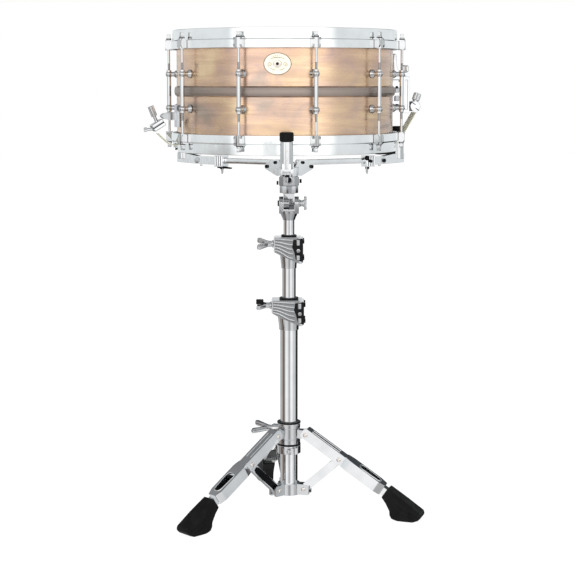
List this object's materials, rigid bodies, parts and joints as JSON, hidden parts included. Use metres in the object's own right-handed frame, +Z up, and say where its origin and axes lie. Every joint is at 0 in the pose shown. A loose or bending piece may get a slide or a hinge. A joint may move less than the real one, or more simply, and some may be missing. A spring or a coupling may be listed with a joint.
{
  "type": "snare drum",
  "caption": "Patinated metal-shell snare drum with chrome hoops, tube lugs and strainer, held in the three-arm basket of a folding, height-adjustable tripod stand.",
  "frame": {"origin": "middle of the whole object's footprint, on the floor", "axes": "+Z up; -Y is the front, where the badge is; +X is the side with the strainer; the mast stands 4.5 mm to the right and 2.8 mm in front of the origin"},
  "size_m": [0.4614, 0.455, 0.8068],
  "materials": {
    "copper_shell": "patinated copper, rubbed by hand and lacquered, brushed round the shell",
    "badge_enamel": "ivory enamel with a pale gold ornament and rim",
    "batter_film": "sprayed white coating with a fine grain",
    "snare_film": "hazy clear film",
    "hoop_chrome": "polished chrome plate",
    "lug_chrome": "polished chrome plate",
    "strainer_chrome": "chrome-plated die casting",
    "wire_steel": "drawn steel wire",
    "strap_plastic": "translucent plastic band",
    "stand_chrome": "polished chrome plate on steel tube and castings",
    "bolt_chrome": "chrome-plated die casting",
    "nut_black": "black moulded nylon",
    "rubber": "moulded black rubber"
  },
  "bodies": {
    "mast_base": {"lower_tube": "stand_chrome", "bottom_collar": "stand_chrome", "memory_lock": "stand_chrome", "lower_clamp": "stand_chrome"},
    "leg_collar": {"leg_collar": "stand_chrome"},
    "leg_left": {"leg_left": "stand_chrome", "foot_left": "rubber"},
    "leg_right": {"leg_right": "stand_chrome", "foot_right": "rubber"},
    "leg_rear": {"leg_rear": "stand_chrome", "foot_rear": "rubber"},
    "brace_left": {"brace_left": "stand_chrome"},
    "brace_right": {"brace_right": "stand_chrome"},
    "brace_rear": {"brace_rear": "stand_chrome"},
    "leg_wing_bolt": {"leg_wing_bolt": "bolt_chrome"},
    "lower_wing_bolt": {"lower_wing_bolt": "bolt_chrome"},
    "middle_mast": {"middle_tube": "stand_chrome", "upper_clamp": "stand_chrome"},
    "upper_wing_bolt": {"upper_wing_bolt": "bolt_chrome"},
    "upper_mast": {"upper_tube": "stand_chrome"},
    "tilter_wing_bolt": {"tilter_wing_bolt": "bolt_chrome"},
    "tilter": {"tilter_body": "stand_chrome", "basket_hub": "stand_chrome"},
    "basket_nut": {"basket_nut": "nut_black"},
    "arm_front": {"basket_arm_front": "stand_chrome"},
    "arm_right": {"basket_arm_right": "stand_chrome"},
    "arm_left": {"basket_arm_left": "stand_chrome"},
    "grip_front": {"basket_grip_front": "stand_chrome", "grip_rubber_front": "rubber"},
    "grip_right": {"basket_grip_right": "stand_chrome", "grip_rubber_right": "rubber"},
    "grip_left": {"basket_grip_left": "stand_chrome", "grip_rubber_left": "rubber"},
    "drum": {"shell": "copper_shell", "badge": "badge_enamel", "batter_head": "batter_film", "snare_head": "snare_film", "batter_hoop": "hoop_chrome", "snare_hoop": "hoop_chrome", "lug_01": "lug_chrome", "lug_02": "lug_chrome", "lug_03": "lug_chrome", "lug_04": "lug_chrome", "lug_05": "lug_chrome", "lug_06": "lug_chrome", "lug_07": "lug_chrome", "lug_08": "lug_chrome", "lug_09": "lug_chrome", "lug_10": "lug_chrome", "throw_off_base": "strainer_chrome", "butt_plate": "strainer_chrome", "butt_clamp": "strainer_chrome", "butt_strap": "strap_plastic"},
    "throw_off_lever": {"throw_off_lever": "strainer_chrome"},
    "throw_off_slider": {"throw_off_slider": "strainer_chrome", "strap_clamp": "strainer_chrome"},
    "tension_knob": {"tension_knob": "strainer_chrome"},
    "snare_wires": {"snare_wires": "wire_steel", "throw_off_strap": "strap_plastic"}
  },
  "joints": [
    {"name": "leg_collar_slide", "type": "slide", "parent": "mast_base", "child": "leg_collar", "axis": [0, 0, 1], "range_m": [0, 0.0565]},
    {"name": "leg_left_hinge", "type": "hinge", "parent": "leg_collar", "child": "leg_left", "pos_m": [-0.019, -0.02433, 0.13364], "axis": [0.6756, -0.7373, 0], "range_deg": [0, 45.5]},
    {"name": "leg_right_hinge", "type": "hinge", "parent": "leg_collar", "child": "leg_right", "pos_m": [0.03489, -0.01238, 0.13364], "axis": [0.3007, 0.9537, 0], "range_deg": [0, 45.5]},
    {"name": "leg_rear_hinge", "type": "hinge", "parent": "leg_collar", "child": "leg_rear", "pos_m": [-0.0024, 0.02831, 0.13364], "axis": [-0.9763, -0.2164, 0], "range_deg": [0, 45.5]},
    {"name": "brace_left_hinge", "type": "hinge", "parent": "mast_base", "child": "brace_left", "pos_m": [-0.01596, -0.02155, 0.03958], "axis": [-0.6756, 0.7373, 0], "range_deg": [0, 35.9]},
    {"name": "brace_right_hinge", "type": "hinge", "parent": "mast_base", "child": "brace_right", "pos_m": [0.03097, -0.01115, 0.03958], "axis": [-0.3007, -0.9537, 0], "range_deg": [0, 35.9]},
    {"name": "brace_rear_hinge", "type": "hinge", "parent": "mast_base", "child": "brace_rear", "pos_m": [-0.00151, 0.0243, 0.03958], "axis": [0.9763, 0.2164, 0], "range_deg": [0, 35.9]},
    {"name": "leg_wing_bolt_turn", "type": "hinge", "parent": "leg_collar", "child": "leg_wing_bolt", "pos_m": [0.0045, -0.0028, 0.13981], "axis": [-0.9537, 0.3007, 0], "continuous": true},
    {"name": "lower_wing_bolt_turn", "type": "hinge", "parent": "mast_base", "child": "lower_wing_bolt", "pos_m": [0.0045, -0.0028, 0.35158], "axis": [-1, 0, 0], "continuous": true},
    {"name": "middle_tube_slide", "type": "slide", "parent": "mast_base", "child": "middle_mast", "axis": [0, 0, 1], "range_m": [-0.045, 0.15]},
    {"name": "upper_wing_bolt_turn", "type": "hinge", "parent": "middle_mast", "child": "upper_wing_bolt", "pos_m": [0.0045, -0.0028, 0.4554], "axis": [-1, 0, 0], "continuous": true},
    {"name": "upper_tube_slide", "type": "slide", "parent": "middle_mast", "child": "upper_mast", "axis": [0, 0, 1], "range_m": [-0.024, 0.1]},
    {"name": "tilter_wing_bolt_turn", "type": "hinge", "parent": "upper_mast", "child": "tilter_wing_bolt", "pos_m": [0.0045, -0.0028, 0.52325], "axis": [1, 0, 0], "continuous": true},
    {"name": "basket_tilt", "type": "hinge", "parent": "upper_mast", "child": "tilter", "pos_m": [0.0045, -0.0028, 0.52325], "axis": [1, 0, 0], "range_deg": [-25, 25]},
    {"name": "basket_open", "type": "hinge", "parent": "tilter", "child": "arm_front", "pos_m": [0.00411, -0.02541, 0.59059], "axis": [0.9998, -0.0175, 0], "range_deg": [0, 8]},
    {"name": "arm_right_hinge", "type": "hinge", "parent": "tilter", "child": "arm_right", "pos_m": [0.02438, 0.00799, 0.59059], "axis": [-0.4772, 0.8788, 0], "range_deg": [0, 8]},
    {"name": "arm_left_hinge", "type": "hinge", "parent": "tilter", "child": "arm_left", "pos_m": [-0.01478, 0.00902, 0.59059], "axis": [-0.5225, -0.8526, 0], "range_deg": [0, 8]},
    {"name": "basket_nut_turn", "type": "hinge", "parent": "tilter", "child": "basket_nut", "pos_m": [0.0045, -0.0028, 0.5469], "axis": [0, 0, 1], "range_deg": [0, 360]},
    {"name": "grip_front_slide", "type": "slide", "parent": "arm_front", "child": "grip_front", "axis": [-0.0175, -0.9998, 0], "range_m": [0, 0.02]},
    {"name": "grip_right_slide", "type": "slide", "parent": "arm_right", "child": "grip_right", "axis": [0.8788, 0.4772, 0], "range_m": [0, 0.02]},
    {"name": "grip_left_slide", "type": "slide", "parent": "arm_left", "child": "grip_left", "axis": [-0.8526, 0.5225, 0], "range_m": [0, 0.02]},
    {"name": "drum_lift", "type": "slide", "parent": "tilter", "child": "drum", "axis": [0, 0, 1], "range_m": [0, 0.045]},
    {"name": "throw_off", "type": "hinge", "parent": "drum", "child": "throw_off_lever", "pos_m": [0.18165, 0.04477, 0.7323], "axis": [0.9681, 0.2504, 0], "range_deg": [0, 95]},
    {"name": "slider_drop", "type": "slide", "parent": "drum", "child": "throw_off_slider", "axis": [0, 0, -1], "range_m": [0, 0.005]},
    {"name": "wires_drop", "type": "hinge", "parent": "drum", "child": "snare_wires", "pos_m": [-0.16311, -0.04439, 0.6234], "axis": [-0.2504, 0.9681, 0], "range_deg": [0, 0.74]},
    {"name": "tension_knob_turn", "type": "hinge", "parent": "drum", "child": "tension_knob", "pos_m": [0.19966, 0.04943, 0.7473], "axis": [0, 0, 1], "continuous": true}
  ],
  "couplings": [
    {"joint": "leg_left_hinge", "follows": "leg_collar_slide", "rad_per_m": 14.028},
    {"joint": "leg_right_hinge", "follows": "leg_collar_slide", "rad_per_m": 14.028},
    {"joint": "leg_rear_hinge", "follows": "leg_collar_slide", "rad_per_m": 14.028},
    {"joint": "brace_left_hinge", "follows": "leg_collar_slide", "rad_per_m": 11.055},
    {"joint": "brace_right_hinge", "follows": "leg_collar_slide", "rad_per_m": 11.055},
    {"joint": "brace_rear_hinge", "follows": "leg_collar_slide", "rad_per_m": 11.055},
    {"joint": "arm_right_hinge", "follows": "basket_open", "ratio": 1},
    {"joint": "arm_left_hinge", "follows": "basket_open", "ratio": 1},
    {"joint": "basket_nut_turn", "follows": "basket_open", "ratio": 45},
    {"joint": "throw_off", "follows": "slider_drop", "rad_per_m": 331.61},
    {"joint": "wires_drop", "follows": "slider_drop", "rad_per_m": 2.5656}
  ]
}
